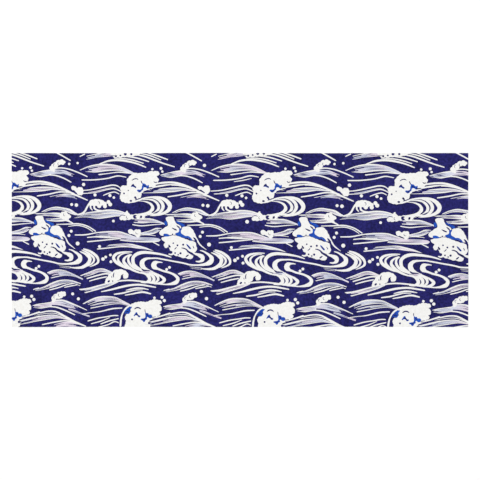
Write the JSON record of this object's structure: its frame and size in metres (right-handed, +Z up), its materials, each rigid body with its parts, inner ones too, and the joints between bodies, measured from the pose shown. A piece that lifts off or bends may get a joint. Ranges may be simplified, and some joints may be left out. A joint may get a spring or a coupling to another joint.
{
  "type": "tenugui towel",
  "caption": "Flat oblong hand towel of thin plain-woven cotton, raw at its short ends, dyed all over with a rough-sea wave repeat in white and bright blue on navy.",
  "frame": {"origin": "middle of the underside, on the surface that the cloth lies on", "axes": "+X along the length, +Y across the width from selvedge to selvedge, +Z up out of the printed face"},
  "size_m": [0.9, 0.343, 0.001],
  "materials": {
    "dyed_cotton": "matt plain-woven cotton, dyed navy, white and bright blue"
  },
  "bodies": {
    "root": {"towel_cloth": "dyed_cotton"}
  },
  "joints": []
}
